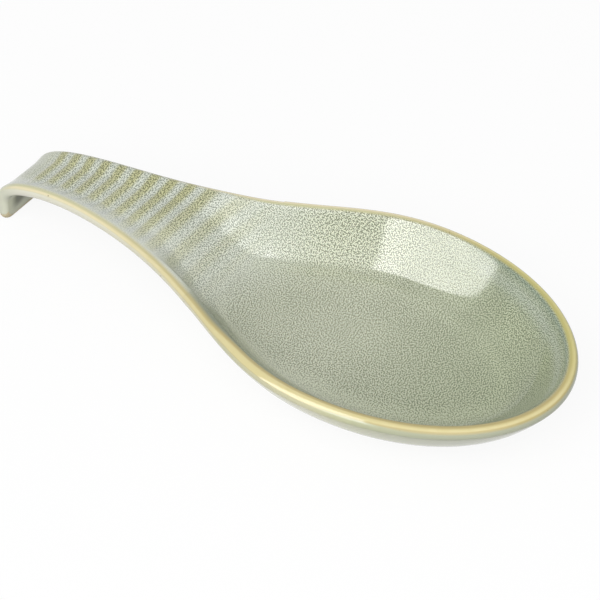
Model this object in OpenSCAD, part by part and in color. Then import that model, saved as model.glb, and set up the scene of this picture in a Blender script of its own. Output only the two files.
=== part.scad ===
// Spoon rest in glazed stoneware: a spoon-shaped bowl, a ribbed trough for a handle, and a handle end that
// hooks down to the table. Millimetres, +Z up, +X from the hook to the nose of the bowl, +Y across.
// The origin is on the table, under the middle of the length.

/* [Overall] */
// Length from the outside of the hook to the nose of the bowl
length = 242; // [220:1:280]
// Width of the bowl over its edge
bowl_w = 106; // [96:1:122]
// Height of the bowl's edge above the table
rim_h = 25; // [22:0.1:28]

/* [Bowl] */
// From the widest place to the nose
nose_l = 74; // [64:1:86]
// How far the edge falls from the widest place to the nose
nose_drop = 1.3; // [0:0.1:3]
// Height of the bowl's floor above the table
floor_h = 7.2; // [6:0.1:9]
// Length of the oval floor
floor_l = 108; // [96:1:114]
// Width of the oval floor
floor_w = 50; // [44:1:56]
// From the end of the floor to the nose
floor_gap = 28; // [25:1:32]
// How much deeper the floor is in its middle
floor_dish = 0.5; // [0:0.1:1]
// Width of the curved wall in plan, from the edge down to the floor
wall_w = 29; // [26:0.1:32]
// Length of the slope from the handle down to the floor
dip_l = 30; // [24:1:40]

/* [Handle] */
// Width of the handle at the hook
handle_w = 29.5; // [26:0.5:34]
// Width that the handle draws in to before it flares
waist_w = 24.5; // [20:0.5:30]
// How far the draw-in pulls along the handle
waist_pull = 109; // [95:1:116]
// How far the bowl's widest place pulls back along the flare
bowl_pull = 50; // [40:1:60]
// Depth of the trough along the middle of the handle
trough_d = 2.2; // [1.4:0.1:3.2]
// Depth of the trough on the hook
hook_trough_d = 0.6; // [0.2:0.1:1.5]
// Distance up the hook at which the trough starts to deepen
trough_start = 15; // [10:1:20]
// Length over which the trough deepens
trough_run = 35; // [25:1:45]
// Rise of the handle's edge above the bowl's edge
hump_h = 1.2; // [0.4:0.1:3]
// From the outside of the hook to the top of the rise
hump_x = 57; // [48:0.5:62]
// Length over which the rise falls to the bowl's edge
hump_fall = 68; // [56:1:84]

/* [Hook] */
// Height of the hook's straight leg
leg_h = 8.5; // [6:0.5:11]
// Squareness of the bend over the hook: 2 is an ellipse, more is squarer
hook_power = 2.35; // [2.1:0.05:2.8]
// Radius of the corners of the resting edge, in plan
tip_corner = 3; // [2:0.5:4.5]

/* [Ribs] */
// Number of ribs across the handle
rib_count = 13; // [8:1:14]
// Distance from rib to rib
rib_pitch = 7.1; // [6.6:0.1:7.6]
// From the outside of the hook to the first rib
rib_start = 14.6; // [13:0.2:16]
// Height of a rib from groove to crest
rib_h = 0.7; // [0.3:0.1:1]

/* [Clay and glaze] */
// Thickness of the rounded edge
rim_t = 5; // [4.4:0.1:5.4]
// Thickness of the wall and floor
body_t = 5.2; // [4.6:0.1:5.8]
// Thickness of the glaze coats
glaze_t = 0.6; // [0.4:0.05:0.8]
// Width of the foot ring's face
foot_ring_w = 4; // [3:0.5:6]
// How far the foot ring's sides lean in
foot_lean = 0.8; // [0.4:0.1:1.2]
// Height of the hollow inside the foot ring
foot_hollow_h = 1.2; // [0.6:0.1:1.6]

/* [Hidden] */

// Curve of the wall: 1 is a straight cone, more is steeper at the edge
wall_power = 2.5;
// The same on the handle, whose trough is gentler
handle_power = 1.7;
// Part of the coat's thickness that has run from a crest into the grooves
pool_share = 0.4;
// Where the rows of points lie, as shares of the way down the wall: 1 is a line's inner place
top_shares = [1, 0.72, 0.46, 0.25, 0.1];
under_shares = [0.12, 0.3, 0.56, 1];
// Rings of the floor, as shares of its oval
floor_shares = [0, 0.35, 0.7, 1];
// Angles round the edge, from its upper side over the outside to its lower side
edge_angles = [0, 45, 90, 135, 180];
// Points along each stretch
tip_steps = 3;
corner_steps = 3;
hook_steps = 11;
rib_steps = 4;
flare_steps = 13;
nose_steps = 18;
curve_steps = 90;
leg_steps = 8;

edge_r = rim_t / 2;
half_t = body_t / 2;
// Distance over which a slope is measured
probe = edge_r / 4;
wide_x = length - nose_l;
floor_x = length - floor_gap - floor_l / 2;
floor_back = floor_x - floor_l / 2;
hump_top = rim_h + hump_h;

function clip(t) = min(max(t, 0), 1);
function ease(t) = clip(t) * clip(t) * (3 - 2 * clip(t));
function mix(a, b, share) = a * (1 - share) + b * share;
function unit(v) = v / norm(v);
function bezier(a, b, c, d, t) =
    a * pow(1 - t, 3) + 3 * b * t * pow(1 - t, 2) + 3 * c * t * t * (1 - t) + d * pow(t, 3);

// Half the plan from the hook to the widest place: one cubic from the handle's side to the bowl's side
flare = [
    for (k = [0:curve_steps])
        bezier([0, handle_w / 2], [waist_pull, waist_w / 2], [wide_x - bowl_pull, bowl_w / 2],
               [wide_x, bowl_w / 2], k / curve_steps)
];

// Height of the edge past the hump: it falls to the bowl and then a little towards the nose
function edge_z(x) =
    rim_h + hump_h * (1 + cos(180 * clip((x - hump_x) / hump_fall))) / 2
    - nose_drop * pow(clip((x - wide_x) / nose_l), 2);

// Side view of the edge over the hook: a straight leg, then a quarter of a squared ellipse up to the hump
hook_line = concat(
    [for (k = [0:leg_steps - 1]) [0, leg_h * k / leg_steps]],
    [
        for (k = [0:curve_steps])
            let (a = 90 * k / curve_steps)
                [hump_x * (1 - pow(cos(a), 2 / hook_power)),
                 leg_h + (hump_top - leg_h) * pow(sin(a), 2 / hook_power)]
    ]
);
hook_last = len(hook_line) - 1;
hook_run = [
    for (k = 0, run = 0; k <= hook_last;
         run = run + (k < hook_last ? norm(hook_line[k + 1] - hook_line[k]) : 0), k = k + 1) run
];
// Places along the strap are measured flat, and agree with X from the hump on
tip_s = hump_x - hook_run[hook_last];
hook_xs = [for (k = [0:hook_last]) [tip_s + hook_run[k], hook_line[k].x]];
hook_zs = [for (k = [0:hook_last]) [tip_s + hook_run[k], hook_line[k].y]];

function strap_x(s) = s < hump_x ? lookup(s, hook_xs) : s;
function strap_z(s) = s < hump_x ? lookup(s, hook_zs) : edge_z(s);
function strap_at(s) = [strap_x(s), strap_z(s)];
function strap_way(s) = s < hump_x ? unit(strap_at(s + probe) - strap_at(s - probe)) : [1, 0];

// Puts a point of the flat strap, n above its edge line, in its place in the part
function place(p) =
    let (way = strap_way(p.x))
        [strap_x(p.x) - p.z * way.y - length / 2, p.y, strap_z(p.x) + p.z * way.x];

function half_w(s) =
    let (x = strap_x(s))
        x < wide_x ? lookup(x, flare) : bowl_w / 2 * sqrt(1 - pow(clip((x - wide_x) / nose_l), 2));

// Distance in from the edge, to first order: along the handle and flare, and round the elliptic nose
function inset_side(s, y) =
    let (
        w = half_w(s),
        share = max(abs(y) / w, probe / bowl_w),
        slope = (half_w(s + probe) - half_w(s - probe)) / (2 * probe)
    ) w * (1 - share * share) / (2 * share * sqrt(1 + pow(share * slope, 2)));
function inset_nose(s, y) =
    let (along = (s - wide_x) / nose_l, across = 2 * y / bowl_w)
        (1 - along * along - across * across)
        / (2 * max(norm([along / nose_l, 2 * across / bowl_w]), probe / (nose_l * nose_l)));
function inset(s, y) = s < wide_x ? min(inset_side(s, y), s - tip_s) : inset_nose(s, y);

// The wall takes its own width in the bowl, and half the handle's width where that is less
function wall_reach(s) =
    let (w = half_w(min(s, wide_x)))
        w * wall_w / pow(pow(w, 4) + pow(wall_w, 4), 1 / 4);

// Share of the way from the handle down into the bowl
function dip(s) = ease((s - floor_back + dip_l) / dip_l);

// Share of the way down the wall, and depth of the clay's middle under the edge line
function wall_share(s, y) = min((inset(s, y) - edge_r) / (wall_reach(s) - edge_r), 1);
function middle_depth(s) =
    let (
        trough = mix(hook_trough_d, trough_d, ease((s - tip_s - trough_start) / trough_run)),
        bowl = edge_z(max(s, hump_x)) - floor_h
    ) half_t + mix(trough, bowl, dip(s));
function depth(s, y) =
    let (power = mix(handle_power, wall_power, dip(s)))
        edge_r + (middle_depth(s) - edge_r) * (1 - pow(1 - wall_share(s, y), power));

// Direction square to the clay's middle surface
function square_to(p) =
    unit([
        (depth(p.x + probe, p.y) - depth(p.x - probe, p.y)) / (2 * probe),
        (depth(p.x, p.y + probe) - depth(p.x, p.y - probe)) / (2 * probe),
        1
    ]);
function middle(p) = [p.x, p.y, -depth(p.x, p.y)];
function thickness(p) = mix(edge_r, half_t, ease(wall_share(p.x, p.y)));

// Ribs: a wave along the handle that starts with the first rib, and dies out over the last ones, towards the
// bowl, and towards the edge
rib_end = rib_start + (rib_count - 1) * rib_pitch;
fading_ribs = 4;
function rib_wave(p) =
    cos(360 * (p.x - rib_start) / rib_pitch)
    * ease((p.x - rib_start) / rib_pitch + 1) * ease(((rib_end - p.x) / rib_pitch + 1) / fading_ribs)
    * ease(2 * wall_share(p.x, p.y));
function face_coat(p) = glaze_t * (1 - pool_share * rib_wave(p));

// Lines that the surfaces are drawn on, for the far half. Each is [place on the edge, inner place, way in
// from the edge, coat at the edge, coat at the inner place of the underside]: resting edges have no coat.
tip_inner = [tip_s + handle_w / 2, 0];
tip_points = concat(
    [for (k = [0:tip_steps - 1]) [tip_s, (handle_w / 2 - tip_corner) * k / tip_steps]],
    [
        for (k = [0:corner_steps])
            let (a = 90 * k / corner_steps)
                [tip_s + tip_corner * (1 - cos(a)), handle_w / 2 - tip_corner * (1 - sin(a))]
    ]
);
hook_end = rib_start - rib_pitch;
rib_step = rib_pitch / rib_steps;
side_places = concat(
    [for (k = [1:hook_steps]) mix(tip_s + tip_corner, hook_end, k / hook_steps)],
    [for (s = [hook_end + rib_step:rib_step:floor_back - rib_step / 2]) s]
);
function oval(inward, angle) =
    [floor_x - (floor_l / 2 - inward) * cos(angle), (floor_w / 2 - inward) * sin(angle)];
bowl_lines = concat(
    [
        for (k = [0:flare_steps - 1])
            let (s = mix(floor_back, wide_x, k / flare_steps)) [[s, half_w(s)], 90 * k / flare_steps]
    ],
    [
        for (k = [0:nose_steps])
            let (a = 90 * (1 - k / nose_steps)) [[wide_x + nose_l * cos(a), bowl_w / 2 * sin(a)], 180 - a]
    ]
);
function square_in(p) =
    unit([
        inset(p.x + probe, p.y) - inset(p.x - probe, p.y),
        inset(p.x, p.y + probe) - inset(p.x, p.y - probe)
    ]);
lines = concat(
    [for (p = tip_points) [p, tip_inner, unit(tip_inner - p), 0, 1]],
    [
        for (s = side_places)
            let (p = [s, half_w(s)], inner = [max(s, tip_inner.x), 0]) [p, inner, unit(inner - p), 1, 1]
    ],
    [for (line = bowl_lines) [line[0], oval(0, line[1]), square_in(line[0]), 1, 0]]
);
bare_lines = len(tip_points);

// Centre of the rounded edge on a line, and the place at a share of the way down the line's wall
function edge_centre(line) = line[0] + edge_r * line[2];
function on_line(line, share) =
    let (wall = min(wall_reach(line[0].x), norm(line[1] - line[0])) - edge_r)
        share == 1 ? line[1] : edge_centre(line) + share * wall * line[2];

// Points of one line. coat is 0 on the glazed outside and 1 on the clay under it.
function top_points(line, coat) = [
    for (share = top_shares)
        let (
            p = on_line(line, share),
            height = thickness(p) + rib_h / 2 * rib_wave(p) - coat * face_coat(p)
        ) place(middle(p) + height * square_to(p))
];
function edge_points(line, coat) =
    let (
        p = edge_centre(line),
        up = square_to(p),
        level = [-line[2].x, -line[2].y, 0],
        out = unit(level - (level * up) * up)
    ) [
        for (a = edge_angles)
            place(middle(p) + (edge_r - coat * glaze_t * line[3]) * (cos(a) * up + sin(a) * out))
    ];
function under_points(line, coat) = [
    for (share = under_shares)
        let (
            p = on_line(line, share),
            cover = coat * glaze_t * (share == 1 ? line[4] : 1)
        ) place(middle(p) - (thickness(p) - cover) * square_to(p))
];

// Turns the points of the far half's lines into rows that run right round the part
function mirrored(p) = [p.x, -p.y, p.z];
function round_rows(half) = [
    for (row = [0:len(half[0]) - 1])
        concat([for (k = [0:len(half) - 1]) half[k][row]],
               [for (k = [len(half) - 2:-1:0]) mirrored(half[k][row])])
];

// Rows of the glazed outside, [0], and of the clay, [1]. The face and the underside end on the edge's rows.
edge_rows = [for (coat = [0, 1]) round_rows([for (line = lines) edge_points(line, coat)])];
face_rows = [
    for (coat = [0, 1])
        concat(round_rows([for (line = lines) top_points(line, coat)]), [edge_rows[coat][0]])
];
under_rows = [
    for (coat = [0, 1])
        concat([last(edge_rows[coat])],
               round_rows([for (line = lines) under_points(line, coat)]))
];

// Floor of the bowl and the foot ring, as rings round the middle of the floor
function ring(inward, z) =
    let (half = [for (line = bowl_lines) oval(inward, line[1])])
        [
            for (p = concat(half, [for (k = [len(half) - 2:-1:0]) [half[k].x, -half[k].y]]))
                [p.x - length / 2, p.y, z]
        ];
function bowl_part(row) =
    let (first = len(lines) - len(bowl_lines)) [for (k = [first:len(row) - 1 - first]) row[k]];
function floor_rings(coat) =
    let (edge = bowl_part(face_rows[coat][0]), centre = [floor_x - length / 2, 0, edge[0].z])
        [
            for (share = floor_shares)
                [
                    for (p = edge)
                        share == 1 ? p
                            : mix(centre, p, share) - [0, 0, floor_dish * pow(1 - share * share, 2)]
                ]
        ];
foot_rings = [
    bowl_part(last(under_rows[1])),
    ring(foot_lean, 0),
    ring(foot_lean + foot_ring_w, 0),
    ring(2 * foot_lean + foot_ring_w, foot_hollow_h),
    [for (k = [1:2 * len(bowl_lines) - 1]) [floor_x - length / 2, 0, foot_hollow_h]]
];

// Triangles between neighbouring rows, without those that have shrunk to an edge or a point
function skin(rows) = [
    for (row = [0:len(rows) - 2], k = [0:len(rows[0]) - 2])
        let (a = rows[row][k], b = rows[row][k + 1], c = rows[row + 1][k + 1], d = rows[row + 1][k])
            for (t = [[a, c, b], [a, d, c]])
                if (t[0] != t[1] && t[1] != t[2] && t[2] != t[0]) t
];

// The same triangles seen from their other side, so that a coat and the clay under it share their faces
function turned(triangles) = [for (t = triangles) [t[0], t[2], t[1]]];
function last(list) = list[len(list) - 1];

module solid(triangles) {
    polyhedron(
        points = [for (t = triangles) each t],
        faces = [for (k = [0:len(triangles) - 1]) [3 * k, 3 * k + 1, 3 * k + 2]]
    );
}

// The pressed clay: its face, its edge and its underside under the coats, with the bare foot ring
module stoneware_body() {
    color("#DCCFAE")
        solid(concat(
            skin(floor_rings(1)),
            skin(face_rows[1]),
            skin(edge_rows[1]),
            skin(under_rows[1]),
            skin(foot_rings)
        ));
}

// The sage coat on the upper face
module face_glaze() {
    color("#B3BBA0")
        solid(concat(
            skin(floor_rings(0)),
            skin(face_rows[0]),
            skin([last(face_rows[0]), last(face_rows[1])]),
            turned(skin(face_rows[1])),
            turned(skin(floor_rings(1)))
        ));
}

// The honey-tan band round the edge, open at the hook's bare resting edge
module rim_band() {
    rows = [
        for (coat = [0, 1])
            [for (row = edge_rows[coat]) [for (k = [bare_lines - 1:len(row) - bare_lines]) row[k]]]
    ];
    color("#DCC88C")
        solid(concat(
            skin(rows[0]),
            skin([last(rows[0]), last(rows[1])]),
            turned(skin(rows[1])),
            turned(skin([rows[0][0], rows[1][0]]))
        ));
}

// The pale coat on the underside, down to the foot ring and the hook's resting edge
module underside_glaze() {
    color("#CBCDB4")
        solid(concat(
            skin(under_rows[0]),
            turned(skin(under_rows[1])),
            turned(skin([under_rows[0][0], under_rows[1][0]]))
        ));
}

stoneware_body();
face_glaze();
rim_band();
underside_glaze();
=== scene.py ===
# %% [markdown]
# # A spoon rest in reactive-glazed stoneware
# The rest is one pressed and fired piece of clay under three coats: a speckled sage glaze on its face, a
# honey band where the coat ran thin over the edge, and a pale glaze underneath. Nothing on it moves, so the
# work is in one smooth form and in how the glaze broke, pooled and speckled in the kiln.
#
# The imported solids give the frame: where each piece is, and how big. Their facets are too coarse for a
# glossy glaze, so every piece is worked out again here from the same formulas, on a finer grid, in the same
# place.

import bpy
import numpy as np
from mathutils import Matrix


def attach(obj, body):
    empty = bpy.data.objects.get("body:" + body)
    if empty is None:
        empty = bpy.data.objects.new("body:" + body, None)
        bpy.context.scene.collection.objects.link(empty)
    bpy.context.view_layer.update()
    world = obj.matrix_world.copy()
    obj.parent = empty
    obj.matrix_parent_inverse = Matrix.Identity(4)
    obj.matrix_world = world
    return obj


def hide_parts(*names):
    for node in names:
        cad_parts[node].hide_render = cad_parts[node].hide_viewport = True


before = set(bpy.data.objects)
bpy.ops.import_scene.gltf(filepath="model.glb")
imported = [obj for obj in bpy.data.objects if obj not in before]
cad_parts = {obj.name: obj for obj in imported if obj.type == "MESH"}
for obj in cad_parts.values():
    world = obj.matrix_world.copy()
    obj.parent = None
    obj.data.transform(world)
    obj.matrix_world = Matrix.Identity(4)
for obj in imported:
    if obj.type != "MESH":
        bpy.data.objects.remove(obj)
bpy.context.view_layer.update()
scene = bpy.context.scene
MM = 0.001
print("CAD nodes:", sorted(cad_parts))

# %% [markdown]
# ## The camera
# A product picture like this one is taken from a step away with a short telephoto lens, which keeps the far
# side of the bowl nearly as large as the near side. The camera could be placed by hand in the viewport. Here
# its angles and distance were matched to the outline of the rest. It is made first, because every later
# choice is judged through it.

# %% Set up the camera
view_azimuth = np.radians(33.45)
view_elevation = np.radians(42.31)
view_distance = 628.7
picture_middle = np.array([11.2, 3.4, 8.3])
sensor_w = 36.0
lens_mm = 102.0

view_back = np.array([-np.sin(view_azimuth), np.cos(view_azimuth), 0.0])
view_right = np.array([np.cos(view_azimuth), np.sin(view_azimuth), 0.0])
view_forward = view_back * np.cos(view_elevation) - np.array([0.0, 0.0, np.sin(view_elevation)])
view_up = np.cross(view_right, view_forward)


def stand(where, right, up, facing):
    """A matrix that stands something at a place in mm, its X to the right, its Y up and its -Z facing on."""
    turn = np.eye(4)
    turn[:3, :3] = np.column_stack([right, up, -facing])
    turn[:3, 3] = where * MM
    return Matrix(turn.tolist())


camera = bpy.data.objects.new("camera", bpy.data.cameras.new("camera"))
camera.data.sensor_width = sensor_w
camera.data.lens = lens_mm
camera.matrix_world = stand(picture_middle - view_distance * view_forward, view_right, view_up, view_forward)
scene.collection.objects.link(camera)
scene.camera = camera
scene.view_settings.view_transform = "Standard"
print("camera at", [round(x, 3) for x in camera.location])

# %% [markdown]
# ## The outline from above
# Seen from above, each side of the rest is one long curve, from the narrow handle through a flare to the
# widest place of the bowl, and half an ellipse closes the nose. It could be traced with dozens of points.
# One cubic Bezier is smoother: its two middle points say how far the handle stays narrow, and how far back
# the bowl stays wide.

# %% Half the width along the rest
length, bowl_w = 242.0, 106.0
nose_l = 74.0
handle_w, waist_w = 29.5, 24.5
waist_pull, bowl_pull = 109.0, 50.0
wide_x = length - nose_l


def cubic(a, b, c, d, t):
    """Cubic Bezier from a to d, pulled towards b and c."""
    return a * (1 - t) ** 3 + 3 * b * t * (1 - t) ** 2 + 3 * c * t**2 * (1 - t) + d * t**3


flare_t = np.linspace(0, 1, 600)
flare_x = cubic(0.0, waist_pull, wide_x - bowl_pull, wide_x, flare_t)
flare_y = cubic(handle_w / 2, waist_w / 2, bowl_w / 2, bowl_w / 2, flare_t)


def half_width(x):
    """The flare's curve up to the widest place, then an ellipse: half the bowl times root of 1 - u * u."""
    along_nose = np.clip((x - wide_x) / nose_l, 0, 1)
    return np.where(x < wide_x, np.interp(x, flare_x, flare_y), bowl_w / 2 * np.sqrt(1 - along_nose**2))


print("handle", handle_w, "mm, narrowest", round(2 * flare_y.min(), 1), "mm, bowl", bowl_w, "mm wide")

# %% [markdown]
# ## The edge from the side
# From the side the edge runs level round the bowl, swells into a low hump over the handle, and then turns
# down in a hook that stands on the table. The hook is a straight leg and a quarter of a squared ellipse. It
# could be sculpted in its bent form at once, but it is easier to shape the handle as a flat strap and to
# bend that afterwards. So places along it are measured along this line: s is the same as x from the hump
# on, and runs on down the hook below that.

# %% The edge line and the bend
rim_h, nose_drop = 25.0, 1.3
hump_h, hump_x, hump_fall = 1.2, 57.0, 68.0
leg_h, hook_power = 8.5, 2.35
rim_t = 5.0
edge_r = rim_t / 2
probe = edge_r / 4


def unit(v):
    """Arrows of length 1: each divided by its own length."""
    return v / np.linalg.norm(v, axis=-1, keepdims=True)


def edge_z(x):
    """Rim height, plus a half cosine down from the hump, less a parabola towards the nose."""
    fall = (1 + np.cos(np.pi * np.clip((x - hump_x) / hump_fall, 0, 1))) / 2
    return rim_h + hump_h * fall - nose_drop * np.clip((x - wide_x) / nose_l, 0, 1) ** 2


leg_z = np.linspace(0, leg_h, 80, endpoint=False)
bend = np.linspace(0, np.pi / 2, 1500)
bend_x = hump_x * (1 - np.cos(bend).clip(0) ** (2 / hook_power))
bend_z = leg_h + (rim_h + hump_h - leg_h) * np.sin(bend) ** (2 / hook_power)
hook_x = np.concatenate([np.zeros_like(leg_z), bend_x])
hook_z = np.concatenate([leg_z, bend_z])
hook_run = np.concatenate([[0], np.cumsum(np.hypot(np.diff(hook_x), np.diff(hook_z)))])
hook_s = hump_x - hook_run[-1] + hook_run
tip_s = hook_s[0]


def strap_at(s):
    """The x and z of the edge line at s: the hook's table below the hump, the edge's formula past it."""
    x = np.where(s < hump_x, np.interp(s, hook_s, hook_x), s)
    return np.stack([x, np.where(s < hump_x, np.interp(s, hook_s, hook_z), edge_z(s))], -1)


def place(p):
    """Bends a point (s, y, n) of the flat strap: n mm off the edge line, square to it on the hook."""
    s, y, n = np.moveaxis(p, -1, 0)
    way = np.where((s < hump_x)[..., None], unit(strap_at(s + probe) - strap_at(s - probe)), [1.0, 0.0])
    x, z = np.moveaxis(strap_at(s), -1, 0)
    return np.stack([x - n * way[..., 1] - length / 2, y, z + n * way[..., 0]], -1)


print("hook's line is", round(hook_run[-1], 1), "mm long, and the strap starts at s =", round(tip_s, 1))

# %% [markdown]
# ## How far in from the edge
# The wall of the bowl hangs from the edge, so its depth depends on how far a place is from the edge. The
# true distance to a curve has no short formula, and a search for the nearest point leaves creases. Dividing
# how far the outline's equation is from zero by the length of its slope gives that distance to first order,
# and is smooth all over.

# %% Distance from the edge, and the share of the wall
wall_w = 29.0
body_t = 5.2
half_t = body_t / 2


def strap_half_width(s):
    """Half the width at a place along the strap: the outline's at the x that the edge line has there."""
    return half_width(strap_at(s)[..., 0])


def inset(s, y):
    """Distance in from the edge: beside the handle and flare from y over the half width, round the nose from
    the ellipse, and at the hook's end no more than the distance to that end."""
    w = strap_half_width(s)
    share = np.maximum(np.abs(y) / np.maximum(w, probe), probe / bowl_w)
    slope = (strap_half_width(s + probe) - strap_half_width(s - probe)) / (2 * probe)
    side = w * (1 - share**2) / (2 * share * np.sqrt(1 + (share * slope) ** 2))
    along, across = (s - wide_x) / nose_l, 2 * y / bowl_w
    steep = np.maximum(np.hypot(along / nose_l, 2 * across / bowl_w), probe / nose_l**2)
    nose = (1 - along**2 - across**2) / (2 * steep)
    return np.where(s < wide_x, np.minimum(side, s - tip_s), nose)


def wall_reach(s):
    """Width of the wall: its own in the bowl, and half the handle's where that is less, joined smoothly."""
    w = strap_half_width(np.minimum(s, wide_x))
    return w * wall_w / (w**4 + wall_w**4) ** 0.25


def wall_share(s, y):
    """0 at the middle of the rounded edge, 1 where the wall has run out into the floor or the trough."""
    return np.minimum((inset(s, y) - edge_r) / (wall_reach(s) - edge_r), 1)


print("wall is", round(float(wall_reach(wide_x)), 1), "mm wide in the bowl,",
      round(float(wall_reach(hump_x)), 1), "mm on the handle")

# %% [markdown]
# ## The clay's middle surface
# Pressed ware has a nearly even wall, so it is easiest to describe the surface halfway through the clay and
# to give it a thickness on both sides. A Solidify modifier could do that too, but the coats need exact
# inner sides. The middle drops from the edge like a power curve, steep at the rim and flat at the floor.
# Along the handle it is a shallow trough, which eases down a slope into the bowl.

# %% Depth, thickness and the direction square to the clay
floor_h, floor_l, floor_w, floor_gap = 7.2, 108.0, 50.0, 28.0
floor_x = length - floor_gap - floor_l / 2
floor_back = floor_x - floor_l / 2
dip_l = 30.0
trough_d, hook_trough_d = 2.2, 0.6
trough_start, trough_run = 15.0, 35.0
wall_power, handle_power = 2.5, 1.7


def mix(a, b, share):
    """a where share is 0, b where it is 1."""
    return a * (1 - share) + b * share


def ease(t):
    """0 up to t = 0, 1 from t = 1 on, and 3 t t - 2 t t t between."""
    t = np.clip(t, 0, 1)
    return t * t * (3 - 2 * t)


def depth(s, y):
    """Depth of the middle under the edge line: full depth times 1 - (1 - wall share) to a power."""
    trough = mix(hook_trough_d, trough_d, ease((s - tip_s - trough_start) / trough_run))
    bowl = edge_z(np.maximum(s, hump_x)) - floor_h
    dip = ease((s - floor_back + dip_l) / dip_l)
    full = half_t + mix(trough, bowl, dip)
    return edge_r + (full - edge_r) * (1 - (1 - wall_share(s, y)) ** mix(handle_power, wall_power, dip))


def slopes(height, p):
    """How fast a height over the flat strap changes along s and along y, by central differences."""
    s, y = np.moveaxis(p, -1, 0)
    along = height(s + probe, y) - height(s - probe, y)
    across = height(s, y + probe) - height(s, y - probe)
    return np.stack([along, across], -1) / (2 * probe)


def square_to(p):
    """The direction square to the middle surface, on its upper side."""
    down = slopes(depth, p)
    return unit(np.concatenate([down, np.ones_like(down[..., :1])], -1))


def middle(p):
    """The point of the middle surface over a place (s, y), at minus the depth."""
    return np.concatenate([p, -depth(p[..., 0], p[..., 1])[..., None]], -1)


def thickness(p):
    """Half the clay's thickness, from the edge's radius to half the wall's."""
    return mix(edge_r, half_t, ease(wall_share(p[..., 0], p[..., 1])))


print("bowl is", round(rim_h - floor_h, 1), "mm deep inside")

# %% [markdown]
# ## Ribs and running glaze
# The handle is ribbed across. In the kiln the glaze runs off each rib into the groove beside it, so the
# coat is thin and tan on the crests and thick, bluish and milky in the grooves. The ribs could be thirteen
# ridges laid across the strap. One cosine gives both at once: it raises the clay into ribs and thins the
# coat over them.

# %% The rib wave and the coat's thickness
rib_count, rib_pitch, rib_start, rib_h = 13, 7.1, 14.6, 0.7
rib_end = rib_start + (rib_count - 1) * rib_pitch
fading_ribs = 4
glaze_t, pool_share = 0.6, 0.4


def rib_wave(p):
    """A cosine of the rib pitch, faded out before the first rib, over the last ones and towards the edge."""
    s, y = np.moveaxis(p, -1, 0)
    fade = ease((s - rib_start) / rib_pitch + 1) * ease(((rib_end - s) / rib_pitch + 1) / fading_ribs)
    return np.cos(2 * np.pi * (s - rib_start) / rib_pitch) * fade * ease(2 * wall_share(s, y))


def face_coat(p):
    """Thickness of the coat on the face: less on the crests, more in the grooves."""
    return glaze_t * (1 - pool_share * rib_wave(p))


print("coat is", glaze_t * (1 - pool_share), "to", glaze_t * (1 + pool_share), "mm thick over the ribs")

# %% [markdown]
# ## Lines from the edge inwards
# A square grid would cut the rounded edge into steps. So the grid is a set of lines that start on the edge
# and run inwards: fanned at the hook's end, straight across on the handle, so that the ribs are sampled
# squarely, and square to the edge round the bowl, where they end on the oval of the floor. Only the far
# half is worked out, and its mirror image is the other half.

# %% Lay out the lines of the far half
tip_corner = 3.0
tip_y = np.linspace(0, handle_w / 2 - tip_corner, 12, endpoint=False)
corner = np.linspace(0, np.pi / 2, 10)
corner_s = tip_s + tip_corner * (1 - np.cos(corner))
corner_y = handle_w / 2 - tip_corner * (1 - np.sin(corner))
tip_edge = np.concatenate([
    np.stack([np.full_like(tip_y, tip_s), tip_y], -1),
    np.stack([corner_s, corner_y], -1),
])
bare_lines = len(tip_edge)

line_gap = 0.6
side_s = np.arange(tip_s + tip_corner + line_gap, floor_back - line_gap / 2, line_gap)
flare_s = np.linspace(floor_back, wide_x, 90, endpoint=False)
nose_a = np.linspace(np.pi / 2, 0, 170)
along_edge = np.concatenate([side_s, flare_s])
edge_places = np.concatenate([
    tip_edge,
    np.stack([along_edge, strap_half_width(along_edge)], -1),
    np.stack([wide_x + nose_l * np.cos(nose_a), bowl_w / 2 * np.sin(nose_a)], -1),
])
strap_lines = bare_lines + len(side_s)
floor_a = np.concatenate([np.linspace(0, np.pi / 2, len(flare_s), endpoint=False), np.pi - nose_a])


def oval(inward):
    """Points of the floor's oval, or of one some mm inside it: two half axes times cosine and sine."""
    along = (floor_l / 2 - inward) * np.cos(floor_a)
    across = (floor_w / 2 - inward) * np.sin(floor_a)
    return np.stack([floor_x - along, across], -1)


fan_s = np.maximum(edge_places[:strap_lines, 0], tip_s + handle_w / 2)
inner_places = np.concatenate([np.stack([fan_s, np.zeros_like(fan_s)], -1), oval(0.0)])
way_in = np.concatenate([
    unit(inner_places - edge_places)[:strap_lines],
    unit(slopes(inset, edge_places[strap_lines:])),
])
edge_centres = edge_places + edge_r * way_in
print(len(edge_places), "lines on the far half,", bare_lines, "of them on the hook's resting edge")

# %% [markdown]
# ## Rows of points
# Along each line the surface is followed from the floor up the wall, over the rounded edge and back down
# the underside. Each row is worked out twice, once on the glazed outside and once on the clay under the
# coat. The hook's resting edge and the foot stay bare, because a glazed foot would stick to the kiln shelf.

# %% Rows on the glazed outside and on the clay
face_shares = np.linspace(1, 0, 37)[:-1]
under_shares = np.linspace(0, 1, 27)[1:]
edge_angles = np.radians(np.linspace(0, 180, 17))
edge_coat = np.where(np.arange(len(edge_places)) < bare_lines, 0.0, glaze_t)
foot_coat = np.where(np.arange(len(edge_places)) < strap_lines, glaze_t, 0.0)


def wall_places(shares):
    """Places (s, y) at shares of the way from the middle of the rounded edge to each line's inner place."""
    return mix(edge_centres, inner_places, shares[:, None, None])


def face_at(p, coat):
    """The middle surface plus half the thickness and half a rib, less the coat where coat is 1."""
    height = thickness(p) + rib_h / 2 * rib_wave(p) - coat * face_coat(p)
    return place(middle(p) + height[..., None] * square_to(p))


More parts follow.
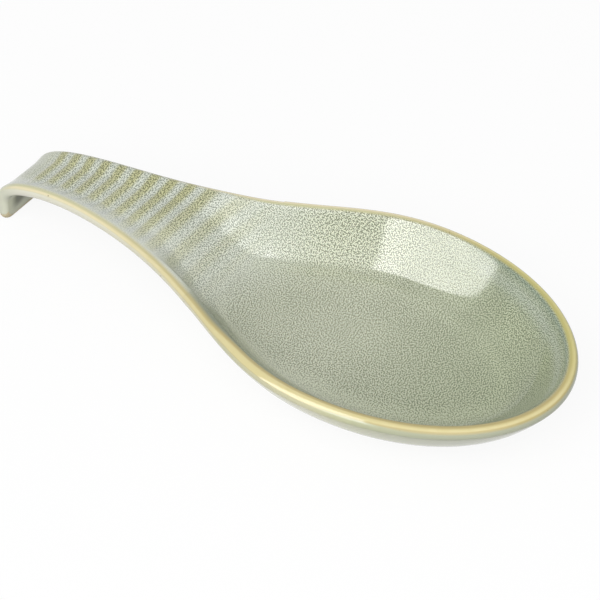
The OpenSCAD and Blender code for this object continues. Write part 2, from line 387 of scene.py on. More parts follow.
def edge_rows(coat):
    """Half a circle from the upper to the lower side: radius times (cosine * up + sine * out)."""
    up = square_to(edge_centres)
    level = np.concatenate([-way_in, np.zeros_like(way_in[:, :1])], -1)
    out = unit(level - np.sum(level * up, -1, keepdims=True) * up)
    radius = (edge_r - coat * edge_coat)[:, None]
    a = edge_angles[:, None, None]
    return place(middle(edge_centres) + radius * (np.cos(a) * up + np.sin(a) * out))


def under_rows(coat):
    """The middle surface less half the thickness, plus the coat where coat is 1."""
    p = wall_places(under_shares)
    cover = coat * np.where((under_shares == 1)[:, None], foot_coat, glaze_t)
    return place(middle(p) - (thickness(p) - cover)[..., None] * square_to(p))


def round_rows(half, mirror):
    """Runs each row on round the near half: the far half, then its mirror image back to the start."""
    return np.concatenate([half, half[:, -2::-1] * mirror], 1) + 0.0


across_y = np.array([1.0, -1.0, 1.0])
edge_grid = [round_rows(edge_rows(coat), across_y) for coat in (0, 1)]
face_rows = [face_at(wall_places(face_shares), coat) for coat in (0, 1)]
face_grid = [np.concatenate([round_rows(face_rows[coat], across_y), edge_grid[coat][:1]]) for coat in (0, 1)]
under_grid = [
    np.concatenate([edge_grid[coat][-1:], round_rows(under_rows(coat), across_y)]) for coat in (0, 1)
]
print("face rows", face_grid[0].shape[:2], "edge rows", edge_grid[0].shape[:2])

# %% [markdown]
# ## The floor and the foot
# Inside the oval the floor is a very shallow dish, drawn as rings that shrink to its middle. Underneath, a
# foot ring stands on the table round a shallow hollow, as on most pressed ware. It could be a bevelled
# curve. Here each point of its profile, with corners rounded as a potter's sponge leaves them, becomes one
# ring of the grid, so that it joins the underside without a seam.

# %% Rings of the floor and the foot
floor_dish = 0.5
foot_ring_w, foot_lean, foot_hollow_h = 4.0, 0.8, 1.2
foot_round = 0.5
floor_shares = np.linspace(0, 1, 15)


def bowl_part(row):
    """The stretch of a row that lies on the lines of the bowl."""
    return row[strap_lines:len(row) - strap_lines]


def floor_rings(coat):
    """The face on ovals drawn to the middle by a share, less the dish times (1 - share * share) squared."""
    share = floor_shares[:, None, None]
    half = face_at(mix(np.array([floor_x, 0.0]), oval(0.0), share), coat)
    rings = round_rows(half - np.array([0.0, 0.0, floor_dish]) * (1 - share**2) ** 2, across_y)
    return np.where(share == 1, bowl_part(face_grid[coat][0]), rings)


def rounded(corners, radius, steps=5):
    """A line through corners, whose inner ones are quadratic Beziers that start and end a radius away."""
    line = [corners[0]]
    t = np.linspace(0, 1, steps)[:, None]
    for before, at, after in zip(corners[:-2], corners[1:-1], corners[2:]):
        start = at + radius * unit(before - at)
        end = at + radius * unit(after - at)
        line.extend(start * (1 - t) ** 2 + 2 * at * t * (1 - t) + end * t**2)
    return np.array(line + [corners[-1]])


foot_top_z = bowl_part(under_grid[1][-1])[0, 2]
foot_line = rounded(np.array([
    [0.0, foot_top_z],
    [foot_lean, 0.0],
    [foot_lean + foot_ring_w, 0.0],
    [2 * foot_lean + foot_ring_w, foot_hollow_h],
    [floor_w / 2, foot_hollow_h],
]), foot_round)[1:-1]


def level_ring(inward, z):
    """A ring of the floor's oval, drawn in by some mm, at one height."""
    half = oval(inward)
    return np.concatenate([half - [length / 2, 0.0], np.full_like(half[:, :1], z)], -1)


foot_grid = round_rows(np.array([level_ring(inward, z) for inward, z in foot_line]), across_y)
foot_middle = np.broadcast_to([floor_x - length / 2, 0.0, foot_hollow_h], foot_grid[:1].shape)
foot_grid = np.concatenate([bowl_part(under_grid[1][-1])[None], foot_grid, foot_middle])
floor_grid = [floor_rings(coat) for coat in (0, 1)]
print("foot ring stands", round(foot_top_z, 2), "mm high on", foot_grid.shape[0], "rings")

# %% [markdown]
# ## One pool of points
# All grids go into one pool in which equal points become one vertex. That closes the seam of every ring,
# the fold along the middle of the handle and the poles of the floor without any welding afterwards. The
# pool also gives the normals: they are summed over the whole outside of the rest, so that the shine runs
# over the joint between two coats without a line.

# %% Pool the grids and sum the normals
grids = {
    "face": face_grid[0], "clay face": face_grid[1], "edge": edge_grid[0], "clay edge": edge_grid[1],
    "under": under_grid[0], "clay under": under_grid[1], "floor": floor_grid[0], "clay floor": floor_grid[1],
    "foot": foot_grid,
}
every_point = np.concatenate([grid.reshape(-1, 3) for grid in grids.values()])
same_digits, tiny = 6, 1e-12
rounded_points = every_point.round(same_digits)
_, first, number = np.unique(rounded_points, axis=0, return_index=True, return_inverse=True)
pool = every_point[first]
ends = np.cumsum([grid[..., 0].size for grid in grids.values()])
ids = {
    name: part.reshape(grid.shape[:2])
    for (name, grid), part in zip(grids.items(), np.split(number.ravel(), ends[:-1]))
}


def quads(grid):
    """Corners of the quads between neighbouring rows and lines of a grid of vertex numbers."""
    a, b, c, d = grid[:-1, :-1], grid[:-1, 1:], grid[1:, 1:], grid[1:, :-1]
    return np.stack([a, b, c, d], -1).reshape(-1, 4)


def area_arrows(corners):
    """Twice the area of each quad, as an arrow square to it: the cross product of its diagonals."""
    a, b, c, d = np.moveaxis(pool[corners], 1, 0)
    return np.cross(c - a, d - b)


def summed_normals(corners):
    """Normals of the pool's points: the arrows of the quads round each point, added up, at length 1."""
    total = np.zeros_like(pool)
    np.add.at(total, corners.ravel(), np.repeat(area_arrows(corners), 4, axis=0))
    size = np.linalg.norm(total, axis=1, keepdims=True)
    return np.where(size > 0, total / np.maximum(size, tiny), [0.0, 0.0, 1.0])


outside = np.concatenate([quads(ids[name]) for name in ("floor", "face", "edge", "under", "foot")])
skin_normals = summed_normals(outside)
on_skin = np.zeros(len(pool), bool)
on_skin[outside] = True
print(len(every_point), "grid points became", len(pool), "vertices")

# %% [markdown]
# ## Where the glaze changed
# A reactive glaze shows how thick it lies: thin over an edge or a rib it fires tan, and where it pools it
# goes bluish and milky. These zones could be painted on by hand as an image. They follow the form, though,
# so they are worked out on the grid as amounts, mostly from 0 to 1, and stored with each vertex for the
# materials.

# %% Where every vertex lies on the strap
edge_arc = np.pi * edge_r
wall_steps = np.linalg.norm(np.diff(face_grid[0][:, :len(edge_places)], axis=0), axis=-1)
wall_arcs = np.concatenate([np.zeros_like(wall_steps[:1]), np.cumsum(wall_steps, axis=0)])
wall_out = unit(edge_centres - inner_places)
place_mirror = np.array([1.0, -1.0, 1.0, 1.0, -1.0])


def places_of(name):
    """Place (s, y) on the strap of every point of a grid, how many mm it lies over the edge (under 0 on the
    face, from 0 up along the rounded edge, and on down the underside), and its place with wall and edge
    unrolled on the table by their true lengths."""
    if "edge" in name:
        p = np.broadcast_to(edge_centres, (len(edge_angles), *edge_centres.shape))
        over = np.broadcast_to(edge_r * edge_angles[:, None], p.shape[:2])
        unrolled = inner_places + (wall_arcs[-1] + over)[..., None] * wall_out
    elif "face" in name:
        p = np.concatenate([wall_places(face_shares), edge_centres[None]])
        over = -np.linalg.norm(p - edge_centres, axis=-1)
        unrolled = inner_places + wall_arcs[..., None] * wall_out
    elif "under" in name:
        p = unrolled = np.concatenate([edge_centres[None], wall_places(under_shares)])
        over = edge_arc + np.linalg.norm(p - edge_centres, axis=-1)
    else:
        p = unrolled = grids[name][..., :2] + [length / 2, 0.0]
        over = np.full(p.shape[:2], -wall_w if "floor" in name else 2 * wall_w)
    flat = np.concatenate([p, over[..., None], unrolled], -1)
    if flat.shape[1] != grids[name].shape[1]:
        flat = round_rows(flat, place_mirror)
    return flat.reshape(-1, len(place_mirror))


places = np.concatenate([places_of(name) for name in grids])[first]
s, y, over, unrolled_s, unrolled_y = places.T
print("s from", round(s.min(), 1), "to", round(s.max(), 1), "mm, over the edge up to", round(over.max(), 1))

# %% A plane for the specks
# The specks are drawn a third larger on the handle, where they would be too fine to show in the render.
handle_specks = 1.35
strap_margin = 60.0


def ramp(x, start, end):
    """0 up to start, 1 from end on, and eased between. With end below start it runs the other way."""
    return ease((x - start) / (end - start))


strap_s = np.linspace(-strap_margin, length + strap_margin, 400)
speck_share = mix(handle_specks, 1.0, ramp(strap_s, 50.0, 90.0))
speck_s = np.concatenate([[0.0], np.cumsum(np.diff(strap_s) / speck_share[1:])])
speck_plane = np.stack([
    np.interp(unrolled_s, strap_s, speck_s),
    unrolled_y / np.interp(unrolled_s, strap_s, speck_share),
    np.zeros(len(places)),
], -1)
print("the plane of the specks is", round(np.ptp(speck_plane[:, 0]), 1), "mm long")

# %% How far in from the edge, and how far round it
p = np.stack([s, y], -1)
inward = -over
tilt = np.arccos(np.clip(square_to(p)[:, 2], -1, 1))
crown = np.degrees(over / edge_r - tilt)
print("crown of the edge at 0 degrees, its outside at 90, its inner foot at", round(-np.degrees(tilt.max())))

# %% Sides and stretches of the rest
# Each pair of numbers says where a soft step starts and ends, in mm along s, across y or in from the edge.
near_side = ramp(y, 22, -22)
near_half = ramp(y, -1, -10)
far_handle = ramp(y, 4, 12)
near_handle = ramp(y, -2, -10) * ramp(s, 140, 120)
near_flare = near_side * ramp(s, 118, 144) * ramp(s, 188, 168)
in_bowl = ramp(s, 92, 118)
near_bowl = near_side * in_bowl
far_wall = in_bowl * ramp(y, 8, 22) * ramp(inward, 30, 16)
far_end = ramp(s, 170, 220)
nose_side = ramp(s, wide_x, 202) * ramp(y, -44, -14)
near_nose = near_side * ramp(s, 219, 232) * ramp(inward, 18, 10)
print("share of the vertices in the bowl:", round(in_bowl.mean(), 2))

# %% Honey where the coat ran thin over the edge
# Across the edge the steps are in degrees from its crown. An ochre border holds a bright core, and both
# turn to cream towards the hook and to olive round the far side of the nose.
honey_start = ramp(s, mix(-2, 55, far_handle), mix(12, 105, far_handle))
near_border = 40 * near_handle - 65
honey_in = mix(ramp(over, 1.1, 2.2), ramp(crown, near_border, near_border + 50), near_side)
honey_end = mix(36, 46, ramp(s, 50, 100)) + 18 * near_flare + 26 * near_handle
honey_out = honey_end + 14 * ramp(s, 180, 210)
core_start = 32 * near_handle - mix(10, 0, far_end)
core_end = honey_end - 5 * far_end
honey_core = ramp(crown, core_start, core_start + 16) * ramp(crown, core_end, core_end - 12)
amounts = {
    "honey": honey_in * ramp(crown, honey_out, honey_out - 14) * honey_start,
    "honey_core": honey_core * honey_start,
    "cream": mix(ramp(s, 150, 10), ramp(s, 215, 115), far_handle),
    "olive": ramp(s, 150, 210) * ramp(y, -8, 28),
    "outer": ramp(crown, honey_end - 20, honey_end),
    "hook": ramp(s, 14, 0),
    "flare": near_flare,
    "handle_side": near_handle,
    "far_end": far_end,
}
print("the honey ends", round(honey_end.min()), "to", round(honey_end.max()), "degrees outside the crown")


# %% Stripes where the glaze ran off the ribs
def hill(x, top, width):
    """1 at the top, falling on both sides: e to the minus square of the distance from it over the width."""
    return np.exp(-(((x - top) / width) ** 2))


last_stripe = rib_end + 1.3 * rib_pitch
stripe_fade = ramp(s, rib_start - rib_pitch, rib_start) * ramp(s, last_stripe, last_stripe - 42)
rise = middle(p)[:, 2] - middle(p * [1, 0])[:, 2]
stripe_lean = 0.6 * rise * ramp(s, 45, 85)
rib_turns = (s - stripe_lean - rib_start) / rib_pitch
stripes = mix(0.2, 0.05, ramp(s, 65, 95)) + 0.44 * np.cos(2 * np.pi * rib_turns)
stripe_border = mix(-3, -0.4, near_side)
stripe_side = stripe_fade * mix(1, 0.65, near_side) * ramp(inward, stripe_border, stripe_border + 2)
near_edge = near_handle * hill(inward, 1.2, 4) * ramp(s, 90, 50)
nose_pool = hill(inward, 2.2, 1.6) * nose_side
# On the nose's near wall the pool tint is a bluish pooling of the glaze, and also painted light where the
# glow lamp's sheen doesn't reach.
pooled = ease(0.5 - stripes) * stripe_side + 0.6 * near_edge + 0.28 * near_nose + 0.5 * nose_pool
amounts["crest"] = ease(0.5 + stripes) * stripe_side * (1 - 0.5 * near_edge)
amounts["pool"] = np.clip(pooled, 0, 1)
print("stripes fade out by s =", round(last_stripe, 1), "mm")

# %% Tints of the sage, and painted light and shade
# Painted light and shade: the sage is lighter over the handle, the slope and the near half of the handle,
# has a painted sheen in an arc at the foot of the near wall and painted light on the nose's near wall, and
# is darker on the left of the near wall towards the rim and a little on the far wall. It is the only amount
# that also goes below 0.
pale_slope = np.maximum(mix(0.5, 1, ramp(s, 60, 90)), near_half)
teal_line = hill(inward, -0.6, 0.8) * nose_side
teal_wall = ramp(y, 18, 32) * ramp(s, 185, 200) * ramp(inward, 8, 2)
amounts["pale"] = pale_slope * ramp(s, 130, 100) * (1 - near_bowl)
amounts["teal"] = np.clip(0.8 * teal_line + 0.3 * teal_wall, 0, 1)
amounts["green"] = ramp(s, 140, 220)
# Near-wall tint: the glaze's smoother green there, plus painted shade on a wall that faces away from the
# lamps.
amounts["near_wall_tint_and_shade"] = near_side * ramp(inward, 19, 10) * ramp(s, 98, 124) * (1 - 0.8 * near_nose)
# Painted shade inside the hook: the underside darkens from the edge inwards, under the handle.
amounts["shelter"] = ramp(s, 24, 6) * ramp(over, edge_arc + 1.5, edge_arc + 6.5)
amounts["shade"] = (
    0.1 * ramp(s, 130, 100) * (1 - near_bowl)
    + 0.2 * near_half * ramp(s, 115, 85)
    + 0.26 * near_bowl * hill(inward, 20, 6)
    - 0.14 * near_bowl * ramp(inward, 12, 4) * ramp(s, 155, 125)
    + 0.14 * near_nose
    - 0.04 * far_wall * ramp(s, 205, 165)
)
print("shade from", round(amounts["shade"].min(), 2), "to", round(amounts["shade"].max(), 2))

# %% How strong the specks are
# They fade out over the edge, are faint on the near wall and the hook, and strong at the far wall's start.
wall_fade = ramp(inward, mix(0, 10, in_bowl), mix(5, 24, in_bowl))
near_specks = mix(0.15, 1, wall_fade)
far_wall_specks = mix(mix(0.65, 1.8, ramp(s, 162, 136)), 1, ramp(s, 195, 210))
far_specks = ramp(inward, -3.5, -1.7) * mix(1, far_wall_specks, far_wall)
amounts["speckle"] = mix(far_specks, near_specks, near_side) * mix(0.3, 1.25, ramp(s, 4, 22))
for name, amount in amounts.items():
    print(f"{name:11s} up to {amount.max():.2f}, mean {amount.mean():.2f}")

# %% [markdown]
# ## Making the pieces
# Each coat on the real rest is a skin of glass over half a millimetre thick. It could be a sheet with a
# Solidify modifier, but the coats taper and meet each other. So each is a closed shell: its outside, its
# inner side on the clay, and a narrow strip along the edge. The clay is the closed body underneath, which
# shows only at the foot and at the hook's resting edge.


# %% Build the four meshes
def faces_of(corners):
    """Faces for a mesh: a quad that shrank to a triangle loses its doubled corner, one that shrank to a line
    is left out."""
    doubled = corners == np.roll(corners, -1, axis=1)
    count = doubled.sum(axis=1)
    thin = count == 1
    triangles = corners[thin][~doubled[thin]].reshape(-1, 3)
    return corners[count == 0].tolist() + triangles.tolist()


def make_piece(name, corners, node):
    """A mesh of these quads of the pool, smooth, with the skin's normals and the glaze's amounts. Its
    volume is a sixth of the sum of each quad's middle times its area arrow."""
    used, local = np.unique(corners, return_inverse=True)
    mesh = bpy.data.meshes.new(name)
    mesh.from_pydata(pool[used] * MM, [], faces_of(local.reshape(-1, 4)))
    mesh.shade_smooth()
    own_normals = summed_normals(corners)
    mesh.normals_split_custom_set_from_vertices(np.where(on_skin[:, None], skin_normals, own_normals)[used])
    for title, amount in amounts.items():
        attribute = mesh.attributes.new(title, "FLOAT", "POINT")
        attribute.data.foreach_set("value", amount[used].astype(np.float32))
    strap = mesh.attributes.new("strap", "FLOAT_VECTOR", "POINT")
    strap.data.foreach_set("vector", (speck_plane[used] * MM).astype(np.float32).ravel())
    piece = bpy.data.objects.new(name, mesh)
    scene.collection.objects.link(piece)
    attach(piece, "root")
    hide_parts(node)
    volume = np.sum(area_arrows(corners) * pool[corners].mean(1)) / 6
    print(f"{name}: {len(mesh.vertices)} vertices, {len(mesh.polygons)} faces, {volume / 1000:.2f} cm3")
    return piece


# Rows in reverse order turn a grid's faces to its other side.
banded = slice(bare_lines - 1, edge_grid[0].shape[1] - bare_lines + 1)
band_ring = np.concatenate([ids["edge"], ids["clay edge"][::-1], ids["edge"][:1]])[:, banded]
clay = make_piece("stoneware_clay", np.concatenate([
    quads(ids[name]) for name in ("clay floor", "clay face", "clay edge", "clay under", "foot")
]), "stoneware_body")
face = make_piece("sage_face", np.concatenate([
    quads(ids["floor"]),
    quads(np.concatenate([ids["face"], ids["clay face"][::-1]])),
    quads(ids["clay floor"][::-1]),
]), "face_glaze")
band = make_piece("honey_band", quads(band_ring), "rim_band")
underside = make_piece("pale_underside", quads(
    np.concatenate([ids["clay under"][::-1], ids["under"]])
), "underside_glaze")

# %% [markdown]
# ## Colours and nodes
# Colours are written as the eye reads them, in sRGB hex, and turned to the linear values that a renderer
# adds up. Materials could be wired by hand in the node editor. Here one helper adds a node, sets it up and
# links it, so that a material reads from top to bottom like a recipe.


# %% Helpers for materials
def linear(hex_colour):
    """sRGB hex to linear red, green, blue and alpha: each channel to the power 2.4 above the dark toe."""
    channels = np.array([int(hex_colour[k:k + 2], 16) for k in (1, 3, 5)]) / 255
    low, high = channels / 12.92, ((channels + 0.055) / 1.055) ** 2.4
    return (*np.where(channels <= 0.04045, low, high), 1.0)


def add(tree, kind, inputs, **settings):
    """Adds a node, sets its settings, and gives each named or numbered input a link or a value."""
    node = tree.nodes.new(kind)
    for name, value in settings.items():
        setattr(node, name, value)
    for key, value in inputs.items():
        if isinstance(value, bpy.types.NodeSocket):
            tree.links.new(value, node.inputs[key])
        else:
            node.inputs[key].default_value = value
    return node


def new_material(name, **shader_values):
    """A material with one Principled shader, whose constant values are set on its own sockets."""
    material = bpy.data.materials.new(name)
    material.use_nodes = True
    shader = material.node_tree.nodes["Principled BSDF"]
    for key, value in shader_values.items():
        shader.inputs[key.replace("_", " ")].default_value = value
    return material, material.node_tree, shader


def per_metre(size_mm):
    """Texture scale for a pattern whose cells are this many mm across: cells in a metre."""
    return 1 / (size_mm * MM)


print("sage in linear light:", [round(x, 3) for x in linear("#AEB39D")])

# %% [markdown]
# ## Sage reactive glaze
# A glossy stoneware glaze. As it cools, the melt parts into a pale and a dark green glass and freezes as a
# fine pepper of specks, about half a millimetre across. A photograph of real glaze could be wrapped round
# the piece, but it would stretch on the walls, and a solid noise would be cut by them into a maze. So the
# specks are a noise in the plane of the strap, unrolled by its true length up the wall, and don't stretch.
# Light and dark are tinted apart: olive on the rib crests, milky and bluish where the glaze pooled.

# %% What all the glazes share
# A fired glaze is glass: clear, slightly wavy reflections over a colour that seems to lie under them. Its
# IOR is at the upper end for glazes, 1.5 to 1.6.
glaze_ior = 1.6
peel_mm, peel_depth_mm = 3.0, 0.012


def glaze_inputs(tree):
    """Object coordinates, and a dictionary of the amounts that were stored with the vertices."""
    coords = add(tree, "ShaderNodeTexCoord", {}).outputs["Object"]
    read = {
        name: add(tree, "ShaderNodeAttribute", {}, attribute_name=name).outputs["Fac"] for name in amounts
    }
    return coords, read


def tinted(tree, plain, steps):
    """A colour turned towards other colours in turn, each by its own amount."""
    colour = linear(plain) if isinstance(plain, str) else plain
    for amount, other in steps:
        other = linear(other) if isinstance(other, str) else other
        colour = add(tree, "ShaderNodeMix", {0: amount, 6: colour, 7: other}, data_type="RGBA").outputs[2]
    return colour


def molten_skin(tree, shader, colour, coords, grain, smooth, rough):
    """Gives a shader its colour, the faint ripple that a glaze keeps from melting, and a roughness that goes
    from smooth where the grain is 0 to rough where it is 1."""
    peel = add(tree, "ShaderNodeTexNoise", {
        "Vector": coords, "Scale": per_metre(peel_mm), "Detail": 1.0,
    }).outputs["Fac"]
    bump = add(tree, "ShaderNodeBump", {"Height": peel, "Strength": 1.0, "Distance": peel_depth_mm * MM})
    gloss = add(tree, "ShaderNodeMapRange", {"Value": grain, "To Min": smooth, "To Max": rough})
    tree.links.new(colour, shader.inputs["Base Color"])
    tree.links.new(bump.outputs["Normal"], shader.inputs["Normal"])
    tree.links.new(gloss.outputs["Result"], shader.inputs["Roughness"])


print("glaze ripples of", peel_mm, "mm,", peel_depth_mm, "mm deep")

# %% The speckled glass
# From arm's length the specks blend to a soft grey-green. Close up they are single dots with crisp edges.
speck_mm, cloud_mm = 0.44, 26.0
speck_low, speck_high = 0.38, 0.6
cloud_gain, cloud_level = 0.5, 0.25
# The near wall's pair is the smoother green of the glaze there, darkened further with painted shade.
sage_tints = {
    "pale": ("#ECEFE2", "#8C9480"), "green": ("#C5CCAC", "#626E50"), "crest": ("#C8C894", "#6A6D45"),
    "pool": ("#DDE2D8", "#929B8E"), "teal": ("#A3B09B", "#66745F"), "near_wall_tint_and_shade": ("#9BA28C", "#767F68"),
}


def sage_glass(tree, coords, read):
    """Colour and tone of the glass: dark and light, each tinted by the amounts, mixed by a tone. The tone is
    the specks times their strength, plus slow clouds, plus the painted light and shade."""
    strap = add(tree, "ShaderNodeAttribute", {}, attribute_name="strap").outputs["Vector"]
    fine = add(tree, "ShaderNodeTexNoise", {
        "Vector": strap, "Scale": per_metre(speck_mm), "Detail": 0.0,
    }, noise_dimensions="2D").outputs["Fac"]
    specks = add(tree, "ShaderNodeMapRange", {
        "Value": fine, "From Min": speck_low, "From Max": speck_high, "To Min": -0.5, "To Max": 0.5,
    }).outputs["Result"]
    cloud = add(tree, "ShaderNodeTexNoise", {
        "Vector": coords, "Scale": per_metre(cloud_mm), "Detail": 3.0, "Roughness": 0.55,
    }).outputs["Fac"]
    clouds_and_painted_light = add(tree, "ShaderNodeMath", {
        0: cloud, 1: cloud_gain, 2: cloud_level,
    }, operation="MULTIPLY_ADD").outputs[0]
    # The slow clouds plus the painted light and shade.
    clouds_and_painted_light = add(tree, "ShaderNodeMath", {0: clouds_and_painted_light, 1: read["shade"]}, operation="ADD").outputs[0]
    tone = add(tree, "ShaderNodeMath", {
        0: specks, 1: read["speckle"], 2: clouds_and_painted_light,
    }, operation="MULTIPLY_ADD").outputs[0]
    light = tinted(tree, "#E2E6CE", [(read[name], pair[0]) for name, pair in sage_tints.items()])
    dark = tinted(tree, "#6F765C", [(read[name], pair[1]) for name, pair in sage_tints.items()])
    return add(tree, "ShaderNodeMix", {0: tone, 6: dark, 7: light}, data_type="RGBA").outputs[2], tone


def breaking_glass(tree, read):
    """Colour of the ochre border where the glaze thins towards the honey."""
    return tinted(tree, "#BFAE70", [(read["cream"], "#CFCC9C"), (read["olive"], "#C0B86C")])


print("specks of", speck_mm, "mm on clouds of", cloud_mm, "mm")

# %% Sage glaze for the face
sage, sage_tree, sage_shader = new_material("sage reactive glaze", IOR=glaze_ior)
coords, read = glaze_inputs(sage_tree)
speckled, tone = sage_glass(sage_tree, coords, read)
honeyed = tinted(sage_tree, speckled, [(read["honey"], breaking_glass(sage_tree, read))])
molten_skin(sage_tree, sage_shader, honeyed, coords, tone, smooth=0.12, rough=0.07)
print(sage.name, "has", len(sage_tree.nodes), "nodes")

# %% [markdown]
# ## Honey and pale glaze
# The same glaze fires honey-tan where it ran thin over the edge, and pale under the rest, where it was
# sprayed on lightly. Both are smooth and glossy, softly mottled, and carry a few brown specks of iron from
# the clay. The band could be one flat colour, but its tone changes on the way round, so it is built up over
# the speckled glass: outside, ochre border, bright core, iron.

# %% Iron specks
iron_gap_mm, iron_mm = 7.0, 0.35
iron_core, iron_strength = 0.6, 0.75


def iron_specks(tree, coords):
    """The iron's strength inside small dots, one to a cell of a Voronoi texture, and 0 between. A dot is
    solid up to its core's share of its radius and fades from there."""
    near = add(tree, "ShaderNodeTexVoronoi", {
        "Vector": coords, "Scale": per_metre(iron_gap_mm),
    }).outputs["Distance"]
    dot = iron_mm / iron_gap_mm
    return add(tree, "ShaderNodeMapRange", {
        "Value": near, "From Min": iron_core * dot, "From Max": dot, "To Min": iron_strength, "To Max": 0.0,
    }).outputs["Result"]


print("an iron speck about every", iron_gap_mm, "mm")

# %% Honey glaze for the band
# A warm line of light round the rest: the thin glass lets the cream clay show through.
mottle_mm = 5.0
mottle_noise = {"Scale": per_metre(mottle_mm), "Detail": 4.0}
iron_brown = "#7A6440"
honey_glaze, honey_tree, honey_shader = new_material("honey breaking glaze", IOR=glaze_ior)
coords, read = glaze_inputs(honey_tree)
mottle = add(honey_tree, "ShaderNodeTexNoise", {"Vector": coords, **mottle_noise}).outputs["Fac"]
thin = tinted(honey_tree, "#DACD8F", [(read["cream"], "#F2E6BA"), (read["olive"], "#DCD17E")])
thick = tinted(honey_tree, "#E6DBA5", [(read["cream"], "#F8EECA"), (read["olive"], "#E5DC94")])
core = tinted(honey_tree, thin, [(mottle, thick)])
speckled, _ = sage_glass(honey_tree, coords, read)
band_outside = tinted(honey_tree, "#BBBD94", [
    (mottle, "#D1D2A8"), (read["handle_side"], "#E0DAB8"), (read["cream"], "#EDEBD8"),
    (read["far_end"], "#B3B79D"), (read["flare"], "#D2CFAA"),
])
rim = tinted(honey_tree, speckled, [
    (read["outer"], band_outside), (read["hook"], "#DCDEC8"),
    (read["honey"], breaking_glass(honey_tree, read)), (read["honey_core"], core),
    (iron_specks(honey_tree, coords), iron_brown),
])
molten_skin(honey_tree, honey_shader, rim, coords, mottle, smooth=0.06, rough=0.14)
print(honey_glaze.name, "is mottled at", mottle_mm, "mm")

# %% Pale glaze for the underside
# A quiet grey-green, still as glossy, that is darkened inside the hook with painted shade, where the handle
# shadows it.
pale, pale_tree, pale_shader = new_material("pale sage glaze", IOR=glaze_ior)
coords, read = glaze_inputs(pale_tree)
mottle = add(pale_tree, "ShaderNodeTexNoise", {"Vector": coords, **mottle_noise}).outputs["Fac"]
# The dark olive inside the hook is painted shade.
below = tinted(pale_tree, "#B8BA84", [
    (mottle, "#CBCC96"), (read["far_end"], "#B4B896"), (read["flare"], "#CECCA2"),
    (read["hook"], "#D0D2BA"), (read["shelter"], "#707359"), (iron_specks(pale_tree, coords), iron_brown),
])
molten_skin(pale_tree, pale_shader, below, coords, mottle, smooth=0.08, rough=0.16)
print(pale.name, "is mottled alike")

# %% [markdown]
# ## Bare stoneware
# The foot ring and the hook's resting edge are wiped clean of glaze before firing. Fired stoneware is
# cream, dry and slightly gritty from the sand in it, so it scatters light and hardly reflects. The grit
# could be modelled, but it is smaller than the grid, so a noise colours, roughens and lifts the surface.

# %% Bare stoneware for the foot
# The grit is about 0.3 mm on real stoneware, and drawn twice as coarse so that it shows.
grit_mm, grit_depth_mm = 0.6, 0.05
clay_ior = 1.5
bare, bare_tree, bare_shader = new_material("bare stoneware", IOR=clay_ior)
coords = add(bare_tree, "ShaderNodeTexCoord", {}).outputs["Object"]
grit = add(bare_tree, "ShaderNodeTexNoise", {
    "Vector": coords, "Scale": per_metre(grit_mm), "Detail": 3.0,
}).outputs["Fac"]
bare_tree.links.new(tinted(bare_tree, "#CDBE97", [(grit, "#E2D6B6")]), bare_shader.inputs["Base Color"])
dry = add(bare_tree, "ShaderNodeMapRange", {"Value": grit, "To Min": 0.65, "To Max": 0.85}).outputs["Result"]
bare_tree.links.new(dry, bare_shader.inputs["Roughness"])
grain = add(bare_tree, "ShaderNodeBump", {"Height": grit, "Strength": 1.0, "Distance": grit_depth_mm * MM})
bare_tree.links.new(grain.outputs["Normal"], bare_shader.inputs["Normal"])
print("grit of", grit_mm, "mm")

# %% Give each piece its finish
for piece, material in ((clay, bare), (face, sage), (band, honey_glaze), (underside, pale)):
    piece.data.materials.append(material)
    print(piece.name, "is in", material.name)

# %% [markdown]
# ## Studio floor and surroundings
# A picture on white is taken on a sheet of paper in a white tent. The paper could be lit until it burns
# out, but that light would wash out the glaze too. So rays from the camera, off gloss or through glass see
# a floor that glows plain white by nine tenths, and the last tenth takes the lamps' light and keeps the
# soft shadow under the rest. Rays that carry light from place to place see a greyer floor and sky.

# %% Floor and surroundings
floor_r, floor_sides = 4.0, 64
around = np.linspace(0, 2 * np.pi, floor_sides, endpoint=False)
floor_ring = np.stack([floor_r * np.cos(around), floor_r * np.sin(around), 0 * around], -1)
floor_mesh = bpy.data.meshes.new("studio_floor")
floor_mesh.from_pydata(floor_ring, [], [list(range(floor_sides))])
studio_floor = bpy.data.objects.new("studio_floor", floor_mesh)
scene.collection.objects.link(studio_floor)


def seen(tree):
    """1 for rays from the camera, off gloss or through glass, which see white, 0 for those that light."""
    rays = add(tree, "ShaderNodeLightPath", {}).outputs
    gloss = add(tree, "ShaderNodeMath", {
        0: rays["Is Camera Ray"], 1: rays["Is Glossy Ray"],
    }, operation="ADD", use_clamp=True).outputs[0]
    return add(tree, "ShaderNodeMath", {
        0: gloss, 1: rays["Is Transmission Ray"],
    }, operation="ADD", use_clamp=True).outputs[0]


print("floor of", 2 * floor_r, "m across")

# %% White paper and white sky
# Matt paper: no shine, so that only the shadow tells where the floor is.
white = (1.0, 1.0, 1.0, 1.0)
white_share, paper_bounce, paper_white = 0.9, 0.35, 0.97
paper, paper_tree, paper_shader = new_material("white paper", Roughness=1.0, Specular_IOR_Level=0.0)
eye_sees = seen(paper_tree)
glow = add(paper_tree, "ShaderNodeEmission", {"Color": white, "Strength": 1.0}).outputs[0]
glow_share = add(paper_tree, "ShaderNodeMath", {
    0: eye_sees, 1: white_share,
}, operation="MULTIPLY").outputs[0]
paper_grey = add(paper_tree, "ShaderNodeMapRange", {
    "Value": eye_sees, "To Min": paper_bounce, "To Max": paper_white,
}).outputs[0]
paper_tree.links.new(paper_grey, paper_shader.inputs["Base Color"])
paper_mix = add(paper_tree, "ShaderNodeMixShader", {
    0: glow_share, 1: paper_shader.outputs[0], 2: glow,
}).outputs[0]
paper_tree.links.new(paper_mix, paper_tree.nodes["Material Output"].inputs["Surface"])
floor_mesh.materials.append(paper)

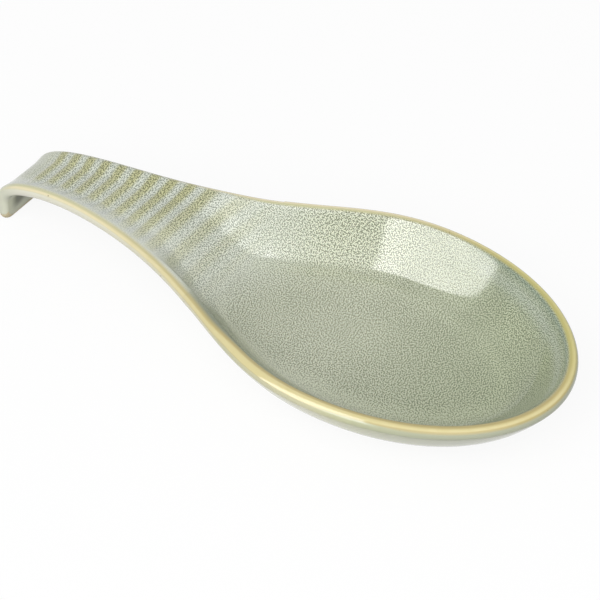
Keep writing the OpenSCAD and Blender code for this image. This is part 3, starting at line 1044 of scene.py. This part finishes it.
sky_level = 0.4
world = bpy.data.worlds.new("studio")
scene.world = world
world.use_nodes = True
world_tree = world.node_tree
backdrop = world_tree.nodes["Background"]
backdrop.inputs["Color"].default_value = white
level = add(world_tree, "ShaderNodeMapRange", {
    "Value": seen(world_tree), "To Min": sky_level, "To Max": 1.0,
}).outputs["Result"]
world_tree.links.new(level, backdrop.inputs["Strength"])
print("paper gives back", paper_bounce, "of the light, and the sky lights at", sky_level)

# %% [markdown]
# ## Lamps
# The glaze mirrors its lamps, so they are placed by their mirror images. A tall panel to the left shows in
# the far wall of the bowl as the large glint, and a wide glow above the camera as a faint sheen on the near
# wall. A fill in the panel's place and a key in front light the colours without a mirror image. One large
# softbox could do all this, but its glint and its light couldn't be set apart.

# %% Soft lamps
bowl_middle = np.array([45.0, 0.0, 10.0])
straight_up = np.array([0.0, 0.0, 1.0])


def studio_way(side, back, up):
    """A direction or place from the camera's right, away from it, and up."""
    return side * view_right + back * view_back + up * straight_up


def soft_lamp(name, where, facing, up, width, height, brightness, spread=180):
    """A rectangle of light that stands at a place and faces along an arrow. The power of an area lamp is 4
    times its brightness times its area. A narrow spread makes it fade from its middle to its border, and
    brightens the middle by tan(h) / (tan(h) - h) with h half the spread, which is taken off here."""
    lamp = bpy.data.lights.new(name, "AREA")
    lamp.shape = "RECTANGLE"
    lamp.size = width
    lamp.size_y = height
    half = np.radians(spread) / 2
    lamp.energy = 4 * width * height * brightness * (1 - half / np.tan(half))
    lamp.spread = np.radians(spread)
    holder = bpy.data.objects.new(name, lamp)
    facing = unit(facing)
    right = unit(np.cross(facing, up))
    holder.matrix_world = stand(where, right, np.cross(right, facing), facing)
    holder.visible_camera = False
    scene.collection.objects.link(holder)
    print(f"{name}: {width:.2f} x {height:.2f} m, {lamp.energy:.1f} W")
    return holder


# %% Panel and fill at the side
panel_face = studio_way(0.784, 0.617, 0.077)
panel_up = studio_way(-0.152, 0.07, 0.986)
panel_side = np.cross(panel_face, panel_up)
panel_low, panel_high, panel_w, panel_shift = 0.295, 4.0, 0.93, 0.067
panel_h = panel_high - panel_low
panel_away = panel_up * (panel_low + panel_high) / 2 + panel_shift * panel_side - panel_face
glint_middle = np.array([65.0, 36.0, 14.0])
panel_place = glint_middle + panel_away / MM
panel = soft_lamp("side_panel", panel_place, panel_face, panel_up, panel_w, panel_h, brightness=4.1)
panel.visible_diffuse = False
fill = soft_lamp("side_fill", panel_place, panel_face, panel_up, panel_w, panel_h, brightness=1.7)
fill.visible_glossy = False

# %% Key and glow in front
lamp_distance = 1100.0
key_place = bowl_middle + lamp_distance * unit(studio_way(-0.08, -0.74, 0.66))
key = soft_lamp("front_key", key_place, bowl_middle - key_place, view_back, 1.0, 1.2, brightness=1.8)
key.visible_glossy = False
glow_place = bowl_middle + lamp_distance * unit(studio_way(0.12, -0.66, 0.74))
glow_lamp = soft_lamp(
    "front_glow", glow_place, bowl_middle - glow_place, view_back, 2.0, 2.0, brightness=1.5, spread=80
)
glow_lamp.visible_diffuse = False
